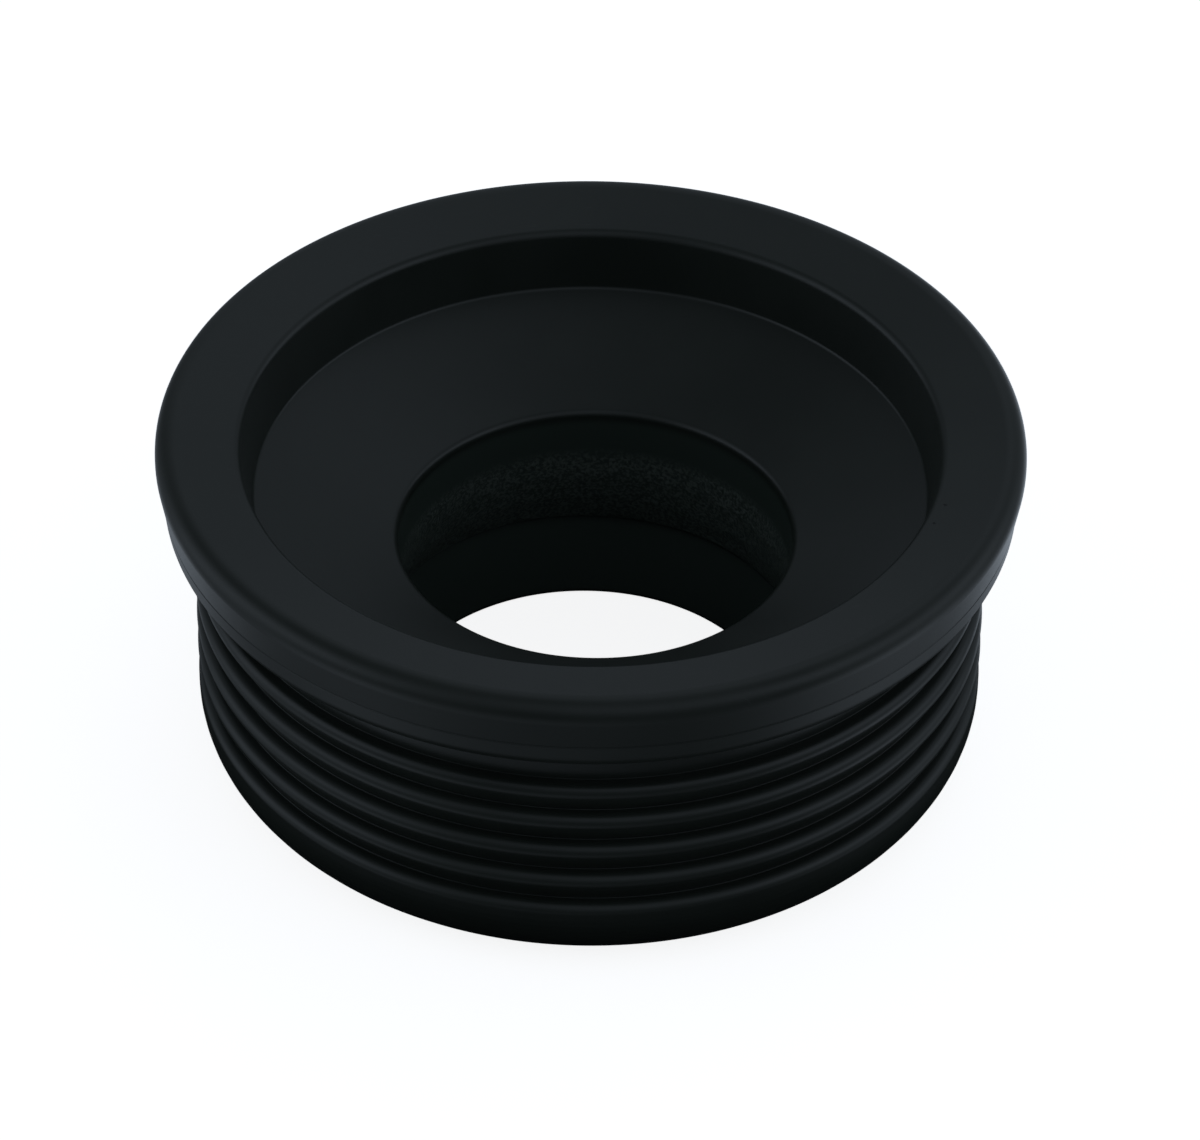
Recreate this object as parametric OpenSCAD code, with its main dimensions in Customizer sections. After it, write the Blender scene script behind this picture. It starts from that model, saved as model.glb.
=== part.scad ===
// Rubber plug seal that joins a flush pipe to the round inlet of a toilet bowl.
// It is one moulding. A flange stops it at the bowl, a ribbed plug squeezes into the inlet,
// and a funnel leads the pipe down into a bore that grips it.
// Millimetres. The origin is the centre of the flat lower face, and +Z runs up to the flange.

/* [Overall] */
// Height from the lower face to the top of the flange
total_h = 26.5; // [26:0.25:30]

/* [Flange] */
// Outside diameter of the flange
flange_d = 62; // [61.5:0.25:68]
// Thickness of the flange, from its top to its underside
flange_t = 6; // [5.75:0.25:7]
// Slope of the top, down towards the recess, in degrees from level
top_a = 12.9; // [0:0.1:14]
// Radius of the shoulder round the top
shoulder_r = 1.3; // [0.4:0.1:1.4]
// Depth below the top at which the side starts to taper
taper_drop = 1.5; // [1.5:0.1:2]
// Depth below the top of the mould's parting line
parting_drop = 3.8; // [3.5:0.1:4.5]
// How far the parting line lies inside the flange's full radius
parting_inset = 0.4; // [0.1:0.05:0.6]
// How far the lower edge lies inside the flange's full radius
lower_edge_inset = 0.65; // [0.6:0.05:0.8]
// Radius of the lower edge
lower_edge_r = 1.3; // [0.3:0.1:1.3]

/* [Recess] */
// Diameter of the recess where its wall meets the flange's sloping top
recess_d = 50; // [48:0.1:52]
// Diameter of the recess where its wall meets the funnel
recess_floor_d = 48.3; // [44:0.1:49.5]
// Depth of the recess's floor at its wall, below the top of the flange's shoulder
recess_drop = 5.5; // [4:0.25:6]
// Radius of the rim between the flange's top and the recess
rim_r = 0.7; // [0.3:0.05:1.5]
// Radius in the corner between the wall and the funnel
recess_corner_r = 0.35; // [0.2:0.05:1]
// Slope of the funnel, in degrees from level
funnel_a = 21.3; // [15:0.1:22]

/* [Bore] */
// Diameter of the bore where it grips the pipe
bore_d = 28; // [26:0.5:30]
// Radius of the edge between the funnel and the bore
bore_edge_r = 0.6; // [0.2:0.05:1]
// Height above the lower face at which the bore starts to widen
grip_bottom = 13.5; // [12:0.5:14]
// Diameter at the widened bore's lower edge
flare_d = 30.8; // [30.4:0.1:31.4]
// Height of that edge above the lower face
flare_bottom = 6.3; // [5.5:0.1:7]
// Diameter at the top of the undercut below that edge
undercut_d = 32; // [31.8:0.1:33]
// Height of the undercut's sloping shelf
undercut_h = 0.3; // [0.2:0.1:1]
// Diameter of the lip at the lower face, where the undercut's wall has closed in again
lip_d = 27.8; // [26:0.1:29]
// Radius of the lip's edge
lip_r = 0.3; // [0.1:0.05:0.6]

/* [Ribbed plug] */
// Number of ribs
rib_count = 5; // [3:1:5]
// Diameter over the ribs
rib_d = 56.9; // [55:0.1:58]
// Distance from one rib to the next
rib_pitch = 2.725; // [2.4:0.025:2.75]
// Depth below the flange's top of the first rib's upper face
first_rib_drop = 9.35; // [8.5:0.05:9.5]
// Slope of a rib's underside, in degrees from upright
rib_flank_a = 31; // [24:1:34]
// Radius of a rib's crest
rib_crest_r = 0.7; // [0.1:0.05:0.8]
// Radius at the root of a rib
rib_root_r = 0.05; // [0.05:0.05:0.2]
// Radius of the nose round the lower face
nose_r = 4.9; // [3:0.1:5]

/* [Hidden] */
$fn = 128;
// Straight steps in each rounded corner of the outline
corner_steps = 8;
rubber = [0.09, 0.1, 0.11];

flange_r = flange_d / 2;
bore_r = bore_d / 2;
recess_floor_r = recess_floor_d / 2;
// Height at which the top's slope, carried on past the shoulder, meets the flange's full radius
top_edge_z = total_h + shoulder_r * (tan(top_a) + 1 / cos(top_a) - 1);
rim_z = top_edge_z - (flange_r - recess_d / 2) * tan(top_a);
recess_floor_z = total_h - recess_drop;
// Height at which the funnel's slope, carried on, meets the bore's wall
mouth_z = recess_floor_z - (recess_floor_r - bore_r) * tan(funnel_a);
// The flare's wall leaves the bore's wall in one long arc. Its corner lies half-way down the flare
flare_bend_z = (grip_bottom + flare_bottom) / 2;
flare_turn = atan2(flare_d / 2 - bore_r, flare_bend_z - flare_bottom);
flare_bend_r = (grip_bottom - flare_bend_z) / tan(flare_turn / 2);
flange_bottom = total_h - flange_t;
first_rib_z = total_h - first_rib_drop;
last_rib_z = first_rib_z - (rib_count - 1) * rib_pitch;
// Radius at which a rib's upper face and its flank would meet without the round crest
crest_corner = rib_d / 2 + rib_crest_r * ((1 + sin(rib_flank_a)) / cos(rib_flank_a) - 1);
root_radius = crest_corner - rib_pitch * tan(rib_flank_a);

// One corner of an outline, rounded: the arc of radius r that leaves a-b and joins b-c
function arc_corner(a, b, c, r) =
    let (
        back = (a - b) / norm(a - b),
        ahead = (c - b) / norm(c - b),
        half = acos(back * ahead) / 2,
        centre = b + (back + ahead) / norm(back + ahead) * r / sin(half),
        from = b + back * r / tan(half) - centre,
        turn = sign(cross(ahead, back)) * (180 - 2 * half)
    )
    [for (i = [0:corner_steps])
        let (t = turn * i / corner_steps)
        centre + [from.x * cos(t) - from.y * sin(t), from.x * sin(t) + from.y * cos(t)]];

// Turns a list of corners, each [radius, height, corner radius], into the points of a closed outline
function rounded(corners) =
    let (n = len(corners), at = [for (k = corners) [k.x, k.y]])
    [for (i = [0:n - 1])
        let (r = corners[i].z)
        each r == 0 ? [at[i]] : arc_corner(at[(i + n - 1) % n], at[i], at[(i + 1) % n], r)];

// The flange's side, from its top edge down to its underside
flange_side = [
    [flange_r, top_edge_z, shoulder_r],
    [flange_r, total_h - taper_drop, 0],
    [flange_r - parting_inset, total_h - parting_drop, 0],
    [flange_r - lower_edge_inset, flange_bottom, lower_edge_r],
    [root_radius, flange_bottom, 2 * rib_root_r]
];

// Every rib but the last: a level upper face, a round crest and a flank that falls back to the root
ribs = [
    for (i = [0:rib_count - 2])
        let (z = first_rib_z - i * rib_pitch)
        each [[root_radius, z, rib_root_r], [crest_corner, z, rib_crest_r]]
];

// The last rib runs straight down into the round nose
nose = [
    [root_radius, last_rib_z, rib_root_r],
    [rib_d / 2, last_rib_z, rib_crest_r],
    [rib_d / 2, 0, nose_r]
];

// The passage, from the lip at the lower face up to the funnel and the recess
passage = [
    [lip_d / 2, 0, lip_r],
    [undercut_d / 2, flare_bottom - undercut_h, 0],
    [flare_d / 2, flare_bottom, 0],
    [bore_r, flare_bend_z, flare_bend_r],
    [bore_r, mouth_z, bore_edge_r],
    [recess_floor_r, recess_floor_z, recess_corner_r],
    [recess_d / 2, rim_z, rim_r]
];

module flush_pipe_seal() {
    color(rubber)
        rotate_extrude()
            polygon(rounded(concat(flange_side, ribs, nose, passage)));
}

flush_pipe_seal();
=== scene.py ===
"""A moulded black rubber plug seal for a toilet's flush pipe, on a plain pale floor in soft studio light.

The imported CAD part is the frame. The seal is turned again here from the same outline, with more points, and
takes the small faults of a real moulding: a core that sits a little off centre, a parting line, and a
spark-eroded grain on the wall of the bore. The seal's lengths are in millimetres until they are scaled to
metres on the way into a mesh or a material. The studio's size and the camera's distance are in metres.
"""
import math

import bpy
from mathutils import Matrix, Vector, noise

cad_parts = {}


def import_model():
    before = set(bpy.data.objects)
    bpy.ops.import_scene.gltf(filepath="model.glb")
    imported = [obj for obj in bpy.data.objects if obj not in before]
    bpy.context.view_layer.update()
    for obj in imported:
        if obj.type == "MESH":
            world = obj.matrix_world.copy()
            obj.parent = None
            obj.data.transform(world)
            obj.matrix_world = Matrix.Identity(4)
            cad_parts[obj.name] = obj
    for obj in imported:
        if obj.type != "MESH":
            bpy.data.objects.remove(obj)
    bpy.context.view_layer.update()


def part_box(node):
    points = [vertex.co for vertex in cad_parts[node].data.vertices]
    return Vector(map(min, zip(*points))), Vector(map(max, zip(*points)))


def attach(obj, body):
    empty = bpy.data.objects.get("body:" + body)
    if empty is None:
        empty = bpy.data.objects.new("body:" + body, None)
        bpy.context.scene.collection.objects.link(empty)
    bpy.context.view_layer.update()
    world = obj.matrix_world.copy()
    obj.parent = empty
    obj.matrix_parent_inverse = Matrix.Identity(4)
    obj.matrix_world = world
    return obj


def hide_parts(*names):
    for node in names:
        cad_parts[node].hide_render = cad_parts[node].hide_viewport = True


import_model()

MM = 0.001
NODE = "flush_pipe_seal"
BODY = "root"

# ---------------------------------------------------------------- the seal's outline

lowest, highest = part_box(NODE)
TOTAL_H = (highest.z - lowest.z) / MM
FLANGE_R = (highest.x - lowest.x) / 2 / MM
FLANGE_T = 6.0
FLANGE_BOTTOM = TOTAL_H - FLANGE_T
TOP_A = math.radians(12.9)
SHOULDER_R = 1.3
TOP_EDGE_Z = TOTAL_H + SHOULDER_R * (math.tan(TOP_A) + 1 / math.cos(TOP_A) - 1)
TAPER_Z = TOTAL_H - 1.5
PARTING_Z = TOTAL_H - 3.8
PARTING_R = FLANGE_R - 0.4
PARTING_GROOVE = 0.06
LOWER_EDGE = FLANGE_R - 0.65
LOWER_EDGE_R = 1.3

RECESS_R = 25.0
RECESS_FLOOR_R = 24.15
RECESS_FLOOR_Z = TOTAL_H - 5.5
RIM_Z = TOP_EDGE_Z - (FLANGE_R - RECESS_R) * math.tan(TOP_A)
RIM_R = 0.7
RECESS_CORNER_R = 0.35
FUNNEL_A = math.radians(21.3)

BORE_R = 14.0
BORE_EDGE_R = 0.6
MOUTH_Z = RECESS_FLOOR_Z - (RECESS_FLOOR_R - BORE_R) * math.tan(FUNNEL_A)
FUNNEL_MIDDLE_R = (BORE_R + RECESS_FLOOR_R) / 2
FUNNEL_MIDDLE_Z = MOUTH_Z + (FUNNEL_MIDDLE_R - BORE_R) * math.tan(FUNNEL_A)
GRIP_BOTTOM = 13.5
FLARE_R = 15.4
FLARE_BOTTOM = 6.3
FLARE_EDGE_R = 0.12
FLARE_BEND_Z = (GRIP_BOTTOM + FLARE_BOTTOM) / 2
FLARE_TURN = math.atan2(FLARE_R - BORE_R, FLARE_BEND_Z - FLARE_BOTTOM)
FLARE_BEND_R = (GRIP_BOTTOM - FLARE_BEND_Z) / math.tan(FLARE_TURN / 2)
UNDERCUT_R = 16.0
UNDERCUT_H = 0.3
LIP_R = 13.9
LIP_EDGE_R = 0.3

RIBS = 5
RIB_R = 28.45
RIB_PITCH = 2.725
FIRST_RIB_Z = TOTAL_H - 9.35
RIB_FLANK_A = math.radians(31)
RIB_CREST_R = 0.7
RIB_ROOT_R = 0.05
NOSE_R = 4.9
CREST_CORNER = RIB_R + RIB_CREST_R * ((1 + math.sin(RIB_FLANK_A)) / math.cos(RIB_FLANK_A) - 1)
ROOT_R = CREST_CORNER - RIB_PITCH * math.tan(RIB_FLANK_A)
LOWER_FACE_MIDDLE_R = (LIP_R + RIB_R - NOSE_R) / 2

# How finely the outline is drawn: an arc's turn between two points in degrees, the longest stretch, and how
# close to a long stretch's ends its extra points are
OUTSIDE_TURN = 6.0
OUTSIDE_STRETCH = 0.6
INSIDE_TURN = 10.0
INSIDE_STRETCH = 0.14
END_GUARD = 0.07


def arc_corner(before, at, after, radius, turn):
    """The points of the arc that rounds the corner at `at`, `turn` degrees of turn apart or closer."""
    back = (before - at).normalized()
    ahead = (after - at).normalized()
    half = back.angle(ahead) / 2
    centre = at + (back + ahead).normalized() * radius / math.sin(half)
    spoke = at + back * radius / math.tan(half) - centre
    sweep = math.pi - 2 * half
    if ahead.x * back.y - ahead.y * back.x < 0:
        sweep = -sweep
    count = max(3, math.ceil(abs(math.degrees(sweep)) / turn))
    points = []
    for i in range(count + 1):
        c, s = math.cos(sweep * i / count), math.sin(sweep * i / count)
        points.append(centre + Vector((spoke.x * c - spoke.y * s, spoke.x * s + spoke.y * c)))
    return points


def rounded(corners, turn):
    """A path through corners, each (radius, height, corner radius). The first and the last stay sharp."""
    at = [Vector(k[:2]) for k in corners]
    points = []
    for i, (_, _, radius) in enumerate(corners):
        if radius == 0 or i in (0, len(corners) - 1):
            points.append(at[i])
        else:
            points += arc_corner(at[i - 1], at[i], at[i + 1], radius, turn)
    return points


def finer(points, longest):
    """The same path with no stretch longer than `longest`. Long stretches get a point close to each end,
    so that smooth shading stays flat on them."""
    path = [points[0]]
    for a, b in zip(points, points[1:]):
        length = (b - a).length
        stops = [0, 1]
        if length > 4 * END_GUARD:
            stops = [0, END_GUARD / length, 1 - END_GUARD / length, 1]
        for start, end in zip(stops, stops[1:]):
            count = max(1, math.ceil((end - start) * length / longest))
            path += [a.lerp(b, start + (end - start) * (i + 1) / count) for i in range(count)]
    return path


def outside_outline():
    """From the funnel's middle over the rim and down the outside to the middle of the lower face."""
    corners = [
        (FUNNEL_MIDDLE_R, FUNNEL_MIDDLE_Z, 0),
        (RECESS_FLOOR_R, RECESS_FLOOR_Z, RECESS_CORNER_R),
        (RECESS_R, RIM_Z, RIM_R),
        (FLANGE_R, TOP_EDGE_Z, SHOULDER_R),
        (FLANGE_R, TAPER_Z, 0),
        (PARTING_R, PARTING_Z + PARTING_GROOVE, 0),
        (PARTING_R - PARTING_GROOVE, PARTING_Z, 0),
        (PARTING_R - PARTING_GROOVE / 3, PARTING_Z - PARTING_GROOVE, 0),
        (LOWER_EDGE, FLANGE_BOTTOM, LOWER_EDGE_R),
        (ROOT_R, FLANGE_BOTTOM, 2 * RIB_ROOT_R),
    ]
    for i in range(RIBS - 1):
        z = FIRST_RIB_Z - i * RIB_PITCH
        corners += [(ROOT_R, z, RIB_ROOT_R), (CREST_CORNER, z, RIB_CREST_R)]
    last_z = FIRST_RIB_Z - (RIBS - 1) * RIB_PITCH
    corners += [
        (ROOT_R, last_z, RIB_ROOT_R),
        (RIB_R, last_z, RIB_CREST_R),
        (RIB_R, 0, NOSE_R),
        (LOWER_FACE_MIDDLE_R, 0, 0),
    ]
    return finer(rounded(corners, OUTSIDE_TURN), OUTSIDE_STRETCH)


def inside_outline():
    """From the middle of the lower face up the passage to the funnel's middle."""
    corners = [
        (LOWER_FACE_MIDDLE_R, 0, 0),
        (LIP_R, 0, LIP_EDGE_R),
        (UNDERCUT_R, FLARE_BOTTOM - UNDERCUT_H, 0),
        (FLARE_R, FLARE_BOTTOM, FLARE_EDGE_R),
        (BORE_R, FLARE_BEND_Z, FLARE_BEND_R),
        (BORE_R, MOUTH_Z, BORE_EDGE_R),
        (FUNNEL_MIDDLE_R, FUNNEL_MIDDLE_Z, 0),
    ]
    return finer(rounded(corners, INSIDE_TURN), INSIDE_STRETCH)


# ---------------------------------------------------------------- the moulding's own faults

# The mould's core: how far it sits off the axis along X at the funnel's mouth and at the lip, how far past
# the lip the lower face still follows it, and how much wider it is at the mouth, as a share of its size
MOUTH_SHIFT = 0.37
LIP_SHIFT = -0.27
LIP_SHIFT_REACH = 6
MOUTH_WIDER = 0.014
# The slope of the widened bore's lower edge, which isn't quite level
EDGE_TILT = 0.018
# Everything nearer the axis than this, below the grip, is the passage's wall
PASSAGE_R = UNDERCUT_R + 0.1
GRAIN_TOP = 14.0
GRAIN_TOP_FADE = 1.5
GRAIN_BOTTOM_FADE = 0.3
GRAIN_SIZE = 0.3
GRAIN_DEPTH = 0.014


def smooth(t):
    """0 below 0, 1 above 1 and an easy slope between."""
    t = min(1.0, max(0.0, t))
    return t * t * (3 - 2 * t)


def core_offset(radius, z):
    """How far the mould's core sits off the axis along X at this place, and how much wider it is."""
    if radius > RECESS_FLOOR_R:
        return 0.0, 0.0
    if z >= GRIP_BOTTOM:
        share = 1 - smooth((radius - BORE_R) / (RECESS_FLOOR_R - BORE_R))
        return MOUTH_SHIFT * share, MOUTH_WIDER * share
    if z >= FLARE_BOTTOM:
        share = (z - FLARE_BOTTOM) / (GRIP_BOTTOM - FLARE_BOTTOM)
        return MOUTH_SHIFT * share, MOUTH_WIDER * share
    share = 1 - smooth((radius - LIP_R) / LIP_SHIFT_REACH)
    return LIP_SHIFT * (1 - z / FLARE_BOTTOM) * share, 0.0


def grain(radius, z, angle):
    """How far the wall of the bore stands in or out here, with the grain of the core's spark-eroded face."""
    if radius > PASSAGE_R or z > GRAIN_TOP or z < FLARE_BOTTOM:
        return 0.0
    share = smooth((GRAIN_TOP - z) / GRAIN_TOP_FADE) * smooth((z - FLARE_BOTTOM) / GRAIN_BOTTOM_FADE)
    spot = Vector((radius * math.cos(angle), radius * math.sin(angle), z)) / GRAIN_SIZE
    return share * GRAIN_DEPTH * noise.noise(spot)


def placed(radius, z, angle):
    """The point of the finished moulding for this place on the outline, in metres."""
    shift, wider = core_offset(radius, z)
    radius += grain(radius, z, angle)
    x = radius * math.cos(angle) * (1 + wider) + shift
    y = radius * math.sin(angle)
    if radius < PASSAGE_R and 0 < z < GRIP_BOTTOM:
        near_edge = 1 - min(1.0, abs(z - FLARE_BOTTOM) / FLARE_BOTTOM)
        z -= EDGE_TILT * x * near_edge
    return Vector((x, y, z)) * MM


# ---------------------------------------------------------------- mesh

# Points round a ring of the grained inside, and of the smooth outside
FINE = 720
COARSE = FINE // 2


def ring_of(mesh_points, radius, z, count):
    """Adds a ring of points and returns their numbers."""
    first = len(mesh_points)
    for i in range(count):
        mesh_points.append(placed(radius, z, 2 * math.pi * i / count))
    return list(range(first, first + count))


def bridge(faces, a, b):
    """Joins two rings that have the same count, or of which one has twice the other's."""
    if len(a) == len(b):
        n = len(a)
        for i in range(n):
            j = (i + 1) % n
            faces.append((a[i], b[i], b[j], a[j]))
        return
    flip = len(a) > len(b)
    few, many = (b, a) if flip else (a, b)
    n = len(few)
    for i in range(n):
        j = (i + 1) % n
        low, mid, high = many[2 * i], many[2 * i + 1], many[(2 * i + 2) % len(many)]
        for face in ((few[i], low, mid), (few[i], mid, few[j]), (few[j], mid, high)):
            faces.append(face[::-1] if flip else face)


def seal_mesh():
    """A ring of points for each point of the outline, each ring joined to the next."""
    points, faces, rings = [], [], []
    outside, inside = outside_outline(), inside_outline()
    for p in outside[:-1]:
        rings.append(ring_of(points, p.x, p.y, COARSE))
    for p in inside[:-1]:
        rings.append(ring_of(points, p.x, p.y, FINE))
    for a, b in zip(rings, rings[1:] + rings[:1]):
        bridge(faces, a, b)
    mesh = bpy.data.meshes.new("seal")
    mesh.from_pydata(points, [], faces)
    mesh.validate()
    mesh.shade_smooth()
    return mesh


# ---------------------------------------------------------------- materials

def number(tree, operation, *values):
    """A Math node fed with numbers or with other nodes' outputs. Gives its output."""
    node = tree.nodes.new("ShaderNodeMath")
    node.operation = operation
    for socket, value in zip(node.inputs, values):
        if isinstance(value, (int, float)):
            socket.default_value = value
        else:
            tree.links.new(value, socket)
    return node.outputs["Value"]


def product(tree, first, *others):
    """All of them multiplied together."""
    for other in others:
        first = number(tree, "MULTIPLY", first, other)
    return first


def fade(tree, value, start, end, low=0.0, high=1.0):
    """Eases from low, where the value is at start, to high, where it is at end."""
    node = tree.nodes.new("ShaderNodeMapRange")
    node.interpolation_type = "SMOOTHSTEP"
    swap = start > end
    node.inputs["From Min"].default_value = min(start, end)
    node.inputs["From Max"].default_value = max(start, end)
    node.inputs["To Min"].default_value = high if swap else low
    node.inputs["To Max"].default_value = low if swap else high
    tree.links.new(value, node.inputs["Value"])
    return node.outputs["Result"]


def fade_mm(tree, length, start, end):
    """Eases from 0, where the length is start millimetres, to 1, where it is end millimetres."""
    return fade(tree, length, start * MM, end * MM)


def speckle(tree, place, size, detail=2.0, roughness=0.5):
    """Noise whose lumps are about `size` millimetres across."""
    node = tree.nodes.new("ShaderNodeTexNoise")
    node.inputs["Scale"].default_value = 1 / (size * MM)
    node.inputs["Detail"].default_value = detail
    node.inputs["Roughness"].default_value = roughness
    tree.links.new(place, node.inputs["Vector"])
    return node.outputs["Fac"]


def stretched(tree, place, scale, turn):
    """The same place, turned round the axis and squeezed by scale."""
    node = tree.nodes.new("ShaderNodeMapping")
    node.inputs["Rotation"].default_value = (0, 0, math.radians(turn))
    node.inputs["Scale"].default_value = scale
    tree.links.new(place, node.inputs["Vector"])
    return node.outputs["Vector"]


def near(tree, place, radius, bearing, z, size, core=0.4):
    """1 round a spot given by its distance from the axis, its bearing and its height, 0 beyond `size`
    millimetres from it. The inner share `core` of that size is all 1."""
    node = tree.nodes.new("ShaderNodeVectorMath")
    node.operation = "DISTANCE"
    tree.links.new(place, node.inputs[0])
    angle = math.radians(bearing)
    node.inputs[1].default_value = Vector((radius * math.cos(angle), radius * math.sin(angle), z)) * MM
    return fade(tree, node.outputs["Value"], size * MM, size * MM * core)


def blend(tree, share, first, second):
    """The mix of two colours, each given as numbers or as another node's output."""
    node = tree.nodes.new("ShaderNodeMix")
    node.data_type = "RGBA"
    tree.links.new(share, node.inputs["Factor"])
    for name, colour in (("A", first), ("B", second)):
        socket = next(k for k in node.inputs if k.name == name and k.type == "RGBA")
        if isinstance(colour, tuple):
            socket.default_value = (*colour, 1)
        else:
            tree.links.new(colour, socket)
    return next(k for k in node.outputs if k.type == "RGBA")


def raised(tree, height, distance, below=None):
    """A bump of `distance` millimetres from the given height, on top of the one below it."""
    node = tree.nodes.new("ShaderNodeBump")
    node.inputs["Distance"].default_value = distance * MM
    tree.links.new(height, node.inputs["Height"])
    if below is not None:
        tree.links.new(below, node.inputs["Normal"])
    return node.outputs["Normal"]


BLACK = (0.0188, 0.0235, 0.0191)
GREYER = (0.0222, 0.0272, 0.0222)
# The passage's colour, lighter than the outside's: painted light, standing in for the light that reaches into
# the passage
PASSAGE_PAINTED_LIGHT = (0.043, 0.057, 0.047)
# Painted sheen: the grain's raised spots in the bore are painted much lighter, and the spots between stay
# darker as painted shade
GRAIN_PAINTED_SHEEN = (0.128, 0.152, 0.130)
DUST = (0.045, 0.050, 0.047)
# Painted shade: the colour darkening each pit, as shade in a hollow
PIT_PAINTED_SHADE = (0.004, 0.005, 0.004)
DUST_SHARE = 0.35
# Two pits in the flange's top: distance from the axis, angle from +X in degrees, reach
PITS = [(25.98, -16.6, 0.16), (25.85, -21.5, 0.15)]
PIT_DEPTH = 0.05

# The roughness, how far it goes up and down in clouds and in the skin, and what a flow line adds
ROUGHNESS = 0.33
ROUGHNESS_CHANGE = 0.02
FLOW_DULL = 0.02
GRAIN_DULL = (0.05, 0.16)
IOR = 1.5

# How wide the lumps of each noise are, and how high the bumps made from it
SKIN_SIZE = 0.12
SKIN_HEIGHT = 0.0022
WAVE_SIZE = 3.5
WAVE_HEIGHT = 0.008
SPARK_SIZE = 0.24
SPARK_HEIGHT = 0.12
CLOUD_SIZE = 9
PATCH_SIZE = 6
STREAK_SIZE = 1.1
STREAK_SQUEEZE = (1, 9, 1)
STREAK_TURN = 35

# Where each noise, which runs from 0 to 1, begins to show and shows in full
CLOUD_TONE = (0.35, 0.65)
CLOUD_SHINE = (0.3, 0.7)
SKIN_SHINE = (0.3, 0.7)
# Where the painted sheen on the bore's grain begins and shows in full
SPARK_SHEEN_TONE = (0.43, 0.61)
SPARK_SHINE = (0.35, 0.7)
STREAK_TONE = (0.62, 0.74)
PATCH_TONE = (0.5, 0.62)

# Where each part of the surface begins and has begun in full: by distance from the axis, or by height
PASSAGE_SIDE = (UNDERCUT_R + 0.6, UNDERCUT_R + 0.3)
PASSAGE_TOP = (MOUTH_Z - 0.3, MOUTH_Z - 1.1)
PASSAGE_BOTTOM = (0.1, 0.6)
BORE_TOP = (GRAIN_TOP, GRAIN_TOP - GRAIN_TOP_FADE)
BORE_BOTTOM = (FLARE_BOTTOM - 0.15, FLARE_BOTTOM + 0.1)
FLANGE_TOP = (TOTAL_H - 1.3, TOTAL_H - 1.1)

# The flow line in the flange's top. It runs straight out from the axis at an angle from +X in degrees, and
# bends a little, in radians, between two distances from the axis. Its two sides' widths are in radians
FLOW_ANGLE = math.radians(-14.5)
FLOW_BEND = -0.05
FLOW_BEND_R = (28.5, 31.0)
FLOW_SOFT_SIDE = 0.012
FLOW_SHARP_SIDE = 0.004


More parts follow.
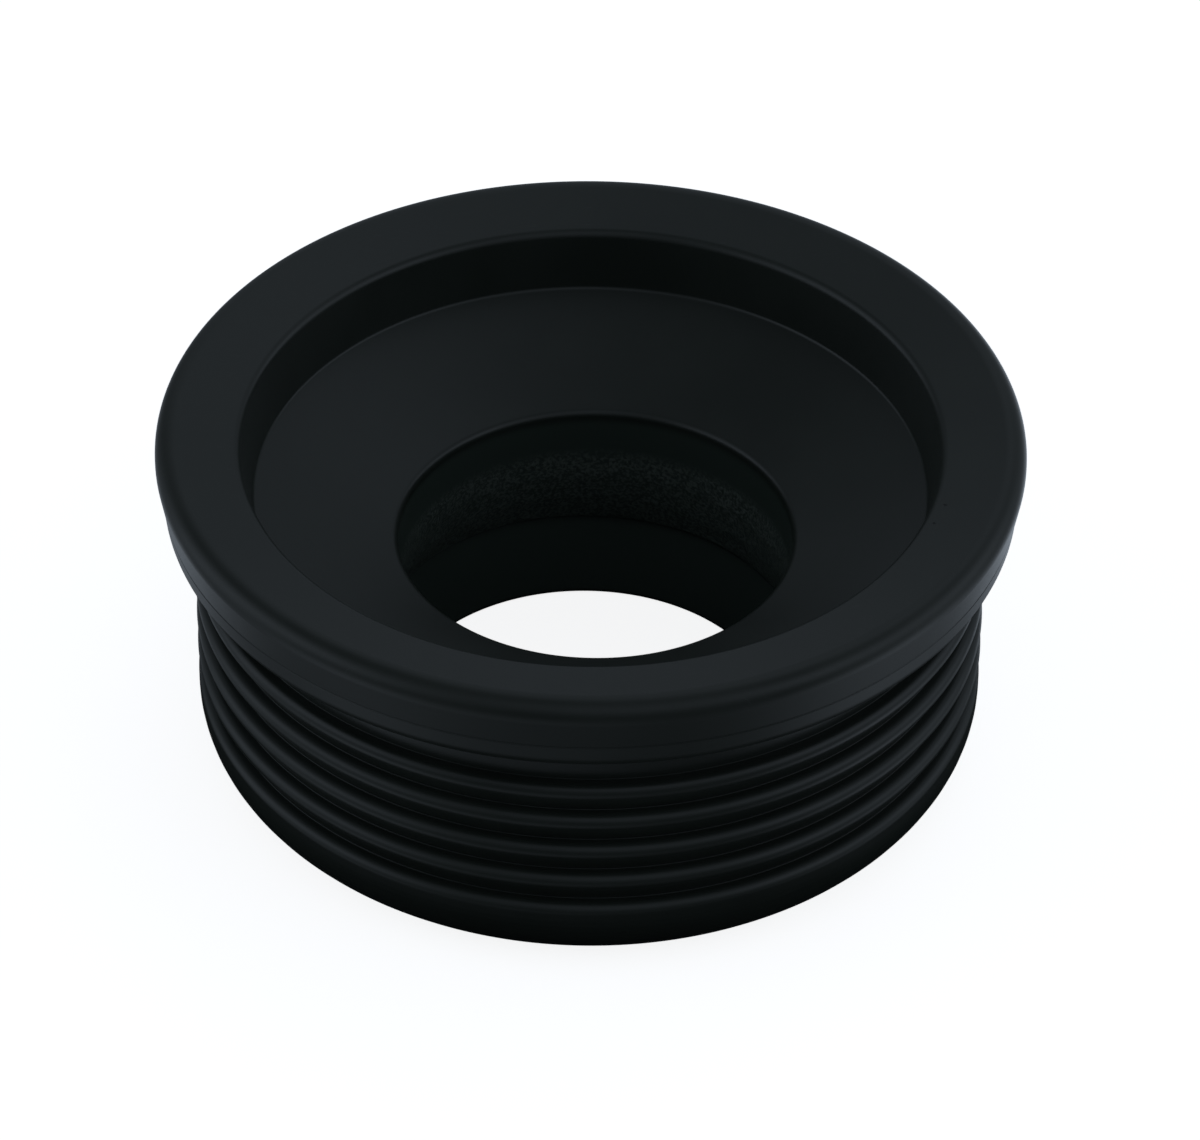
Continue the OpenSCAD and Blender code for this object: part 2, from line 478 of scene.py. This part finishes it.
def rubber():
    """Satin black moulded rubber: fine skin, slow unevenness, a grained bore, pits, a flow line, scuffs, with
    painted light in the passage, a painted sheen on the grain and painted shade in the pits.
    """
    material = bpy.data.materials.new("black_rubber")
    material.use_nodes = True
    tree = material.node_tree
    shader = tree.nodes["Principled BSDF"]
    place = tree.nodes.new("ShaderNodeTexCoord").outputs["Object"]
    split = tree.nodes.new("ShaderNodeSeparateXYZ")
    tree.links.new(place, split.inputs[0])
    x, y, z = split.outputs
    radius = number(tree, "SQRT", number(tree, "ADD", product(tree, x, x), product(tree, y, y)))
    angle_round = number(tree, "ARCTAN2", y, x)

    in_passage = product(
        tree,
        fade_mm(tree, radius, *PASSAGE_SIDE),
        fade_mm(tree, z, *PASSAGE_TOP),
        fade_mm(tree, z, *PASSAGE_BOTTOM),
    )
    in_bore = product(tree, in_passage, fade_mm(tree, z, *BORE_TOP), fade_mm(tree, z, *BORE_BOTTOM))
    on_top = fade_mm(tree, z, *FLANGE_TOP)

    skin = speckle(tree, place, SKIN_SIZE, detail=3)
    cloud = speckle(tree, place, CLOUD_SIZE, detail=3)
    wave = speckle(tree, place, WAVE_SIZE)
    spark = speckle(tree, place, SPARK_SIZE, detail=3, roughness=0.6)
    patch = speckle(tree, place, PATCH_SIZE)
    streak = speckle(tree, stretched(tree, place, STREAK_SQUEEZE, STREAK_TURN), STREAK_SIZE, detail=3)
    scuff = product(tree, fade(tree, streak, *STREAK_TONE), fade(tree, patch, *PATCH_TONE), on_top)

    bend = product(tree, fade_mm(tree, radius, *FLOW_BEND_R), FLOW_BEND)
    flow = number(tree, "ADD", angle_round, bend)
    front = product(tree, fade(tree, flow, FLOW_ANGLE + FLOW_SOFT_SIDE, FLOW_ANGLE - FLOW_SHARP_SIDE), on_top)

    colour = blend(tree, fade(tree, cloud, *CLOUD_TONE), BLACK, GREYER)
    colour = blend(tree, product(tree, scuff, DUST_SHARE), colour, DUST)
    # Painted light: the passage is coloured lighter than the rest of the seal
    colour = blend(tree, in_passage, colour, PASSAGE_PAINTED_LIGHT)
    # Painted sheen on the grain's raised spots in the bore, with painted shade left between them
    colour = blend(tree, product(tree, in_bore, fade(tree, spark, *SPARK_SHEEN_TONE)), colour, GRAIN_PAINTED_SHEEN)

    clouded = fade(tree, cloud, *CLOUD_SHINE, ROUGHNESS - ROUGHNESS_CHANGE, ROUGHNESS + ROUGHNESS_CHANGE)
    shine = number(tree, "ADD", clouded, fade(tree, skin, *SKIN_SHINE, -ROUGHNESS_CHANGE, ROUGHNESS_CHANGE))
    shine = number(tree, "ADD", shine, product(tree, front, FLOW_DULL))
    shine = number(tree, "ADD", shine, product(tree, in_bore, fade(tree, spark, *SPARK_SHINE, *GRAIN_DULL)))

    relief = raised(tree, wave, WAVE_HEIGHT)
    relief = raised(tree, skin, SKIN_HEIGHT, relief)
    relief = raised(tree, product(tree, spark, in_bore), SPARK_HEIGHT, relief)
    for distance, angle, reach in PITS:
        height = RIM_Z + (distance - RECESS_R) * math.tan(TOP_A)
        pit_and_shade = near(tree, place, distance, angle, height, reach)
        # Each pit is bumped in and darkened with painted shade
        colour = blend(tree, pit_and_shade, colour, PIT_PAINTED_SHADE)
        relief = raised(tree, number(tree, "SUBTRACT", 1.0, pit_and_shade), PIT_DEPTH, relief)

    tree.links.new(colour, shader.inputs["Base Color"])
    tree.links.new(shine, shader.inputs["Roughness"])
    tree.links.new(relief, shader.inputs["Normal"])
    shader.inputs["IOR"].default_value = IOR
    return material


seal = bpy.data.objects.new("seal", seal_mesh())
bpy.context.scene.collection.objects.link(seal)
seal.data.materials.append(rubber())
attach(seal, BODY)
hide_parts(NODE)

# ---------------------------------------------------------------- floor, light and camera

STUDIO_R = 3.0
STUDIO_STEPS = 48
FLOOR_GAP = 0.0001
FLOOR_GLOW = 0.86
DOME_GLOW = 0.97
WHITE = (0.9, 0.9, 0.9)
MATT = 0.9
# The shade under the seal is full up to one distance from the axis and gone at the other, in millimetres
SHADE_START = 33.0
SHADE_END = 43.0
SHADE_COLOUR = (0.02, 0.02, 0.02)


def paper(name, points, faces, glow):
    """A plain white surface for the camera. It lights nothing and the seal doesn't mirror it."""
    mesh = bpy.data.meshes.new(name)
    mesh.from_pydata(points, [], faces)
    mesh.shade_smooth()
    made = bpy.data.objects.new(name, mesh)
    bpy.context.scene.collection.objects.link(made)
    made.visible_diffuse = False
    made.visible_glossy = False
    made.visible_shadow = False
    material = bpy.data.materials.new(name)
    material.use_nodes = True
    shader = material.node_tree.nodes["Principled BSDF"]
    shader.inputs["Base Color"].default_value = (*WHITE, 1)
    shader.inputs["Roughness"].default_value = MATT
    shader.inputs["Specular IOR Level"].default_value = 0
    shader.inputs["Emission Color"].default_value = (1, 1, 1, 1)
    shader.inputs["Emission Strength"].default_value = glow
    mesh.materials.append(material)


def shade():
    """A dark disc of painted shadow for the ground just under the seal, as the seal's lower parts see it. The
    camera doesn't see it.
    """
    mesh = bpy.data.meshes.new("shade")
    turns = [2 * math.pi * i / STUDIO_STEPS for i in range(STUDIO_STEPS)]
    reach = SHADE_END * MM / math.cos(math.pi / STUDIO_STEPS)
    mesh.from_pydata([(reach * math.cos(a), reach * math.sin(a), -2 * FLOOR_GAP) for a in turns], [],
                     [tuple(range(STUDIO_STEPS))])
    made = bpy.data.objects.new("shade", mesh)
    bpy.context.scene.collection.objects.link(made)
    made.visible_camera = False
    material = bpy.data.materials.new("shade")
    material.use_nodes = True
    tree = material.node_tree
    shader = tree.nodes["Principled BSDF"]
    shader.inputs["Base Color"].default_value = (*SHADE_COLOUR, 1)
    shader.inputs["Roughness"].default_value = MATT
    away = tree.nodes.new("ShaderNodeVectorMath")
    away.operation = "LENGTH"
    tree.links.new(tree.nodes.new("ShaderNodeTexCoord").outputs["Object"], away.inputs[0])
    dark = fade(tree, away.outputs["Value"], SHADE_END * MM, SHADE_START * MM)
    tree.links.new(dark, shader.inputs["Alpha"])
    mesh.materials.append(material)


def studio():
    """A round white floor and a white dome over it."""
    rings = STUDIO_STEPS // 4
    points, faces = [], []
    for j in range(rings):
        height = math.sin(math.pi / 2 * j / rings)
        across = math.cos(math.pi / 2 * j / rings)
        for i in range(STUDIO_STEPS):
            a = 2 * math.pi * i / STUDIO_STEPS
            points.append((STUDIO_R * across * math.cos(a), STUDIO_R * across * math.sin(a),
                           STUDIO_R * height - FLOOR_GAP))
    for j in range(rings - 1):
        for i in range(STUDIO_STEPS):
            k = (i + 1) % STUDIO_STEPS
            low, high = j * STUDIO_STEPS, (j + 1) * STUDIO_STEPS
            faces.append((low + i, high + i, high + k, low + k))
    faces.append(tuple(reversed(range((rings - 1) * STUDIO_STEPS, rings * STUDIO_STEPS))))
    paper("dome", points, faces, DOME_GLOW)
    paper("floor", points[:STUDIO_STEPS], [tuple(range(STUDIO_STEPS))], FLOOR_GLOW)
    shade()


# The camera looks from the front at the axis, level with the flange's top. The last three turn it from there
CAMERA_DISTANCE = 0.465
CAMERA_ELEVATION = math.radians(37.73)
CAMERA_LENS = 196.3
CAMERA_YAW = math.radians(0.089)
CAMERA_PITCH = math.radians(-1.242)
CAMERA_ROLL = math.radians(0.517)


def camera():
    """The camera at the photo's angle."""
    target = Vector((0, 0, TOTAL_H * MM))
    back = Vector((0, -math.cos(CAMERA_ELEVATION), math.sin(CAMERA_ELEVATION)))
    ahead = -back
    right = Vector((1, 0, 0))
    up = back.cross(right)
    aim = ahead * math.cos(CAMERA_YAW) + right * math.sin(CAMERA_YAW)
    side = right * math.cos(CAMERA_YAW) - ahead * math.sin(CAMERA_YAW)
    tipped = aim * math.cos(CAMERA_PITCH) + up * math.sin(CAMERA_PITCH)
    top = up * math.cos(CAMERA_PITCH) - aim * math.sin(CAMERA_PITCH)
    x = side * math.cos(CAMERA_ROLL) + top * math.sin(CAMERA_ROLL)
    y = top * math.cos(CAMERA_ROLL) - side * math.sin(CAMERA_ROLL)
    data = bpy.data.cameras.new("camera")
    data.lens = CAMERA_LENS
    data.sensor_width = 36
    data.clip_start = 0.01
    data.clip_end = 20
    made = bpy.data.objects.new("camera", data)
    bpy.context.scene.collection.objects.link(made)
    rotation = Matrix((x, y, -tipped)).transposed().to_4x4()
    made.matrix_world = Matrix.Translation(target + back * CAMERA_DISTANCE) @ rotation
    bpy.context.scene.camera = made


# The studio's soft lights. Each one's bearing is in degrees from the camera's side, turning to the right,
# then come its height in degrees above level, and its strength. They began as a fit to the photo's tones and
# were then changed
GLOWS = [
    (0, 66, 0.14),
    (157, 55, 0.31),
    (10, 40, 0.20),
    (-160, 34, 0.10),
    (145, 22, 0.07),
    (180, 12, 0.12),
    (-95, 25, 0.30),
    (65, 28, 0.50),
    (-65, 25, 0.42),
    (105, 15, 0.45),
    (-105, 0, 0.35),
    (160, -30, 0.85),
    (-65, -35, 0.36),
    (85, -35, 0.52),
    (-150, -40, 0.34),
    (-10, -40, 0.14),
]
GLOW_SHARPNESS = 14.0
# The even light of the white room between the glows
ROOM_LIGHT = 0.04
STUDIO_LIGHT = (0.87, 0.99, 1.14)


def world():
    """Light from a few large soft glows on every side of an evenly lit room."""
    made = bpy.data.worlds.new("studio")
    bpy.context.scene.world = made
    made.use_nodes = True
    tree = made.node_tree
    facing = tree.nodes.new("ShaderNodeTexCoord").outputs["Generated"]
    light = ROOM_LIGHT
    for bearing, height, strength in GLOWS:
        a, e = math.radians(bearing), math.radians(height)
        node = tree.nodes.new("ShaderNodeVectorMath")
        node.operation = "DOT_PRODUCT"
        tree.links.new(facing, node.inputs[0])
        node.inputs[1].default_value = (math.cos(e) * math.sin(a), -math.cos(e) * math.cos(a), math.sin(e))
        away = number(tree, "MULTIPLY", number(tree, "SUBTRACT", node.outputs["Value"], 1.0), GLOW_SHARPNESS)
        light = number(tree, "MULTIPLY_ADD", number(tree, "EXPONENT", away), strength, light)
    background = tree.nodes["Background"]
    background.inputs["Color"].default_value = (*STUDIO_LIGHT, 1)
    tree.links.new(light, background.inputs["Strength"])


studio()
world()
camera()
bpy.context.scene.view_settings.view_transform = "Standard"
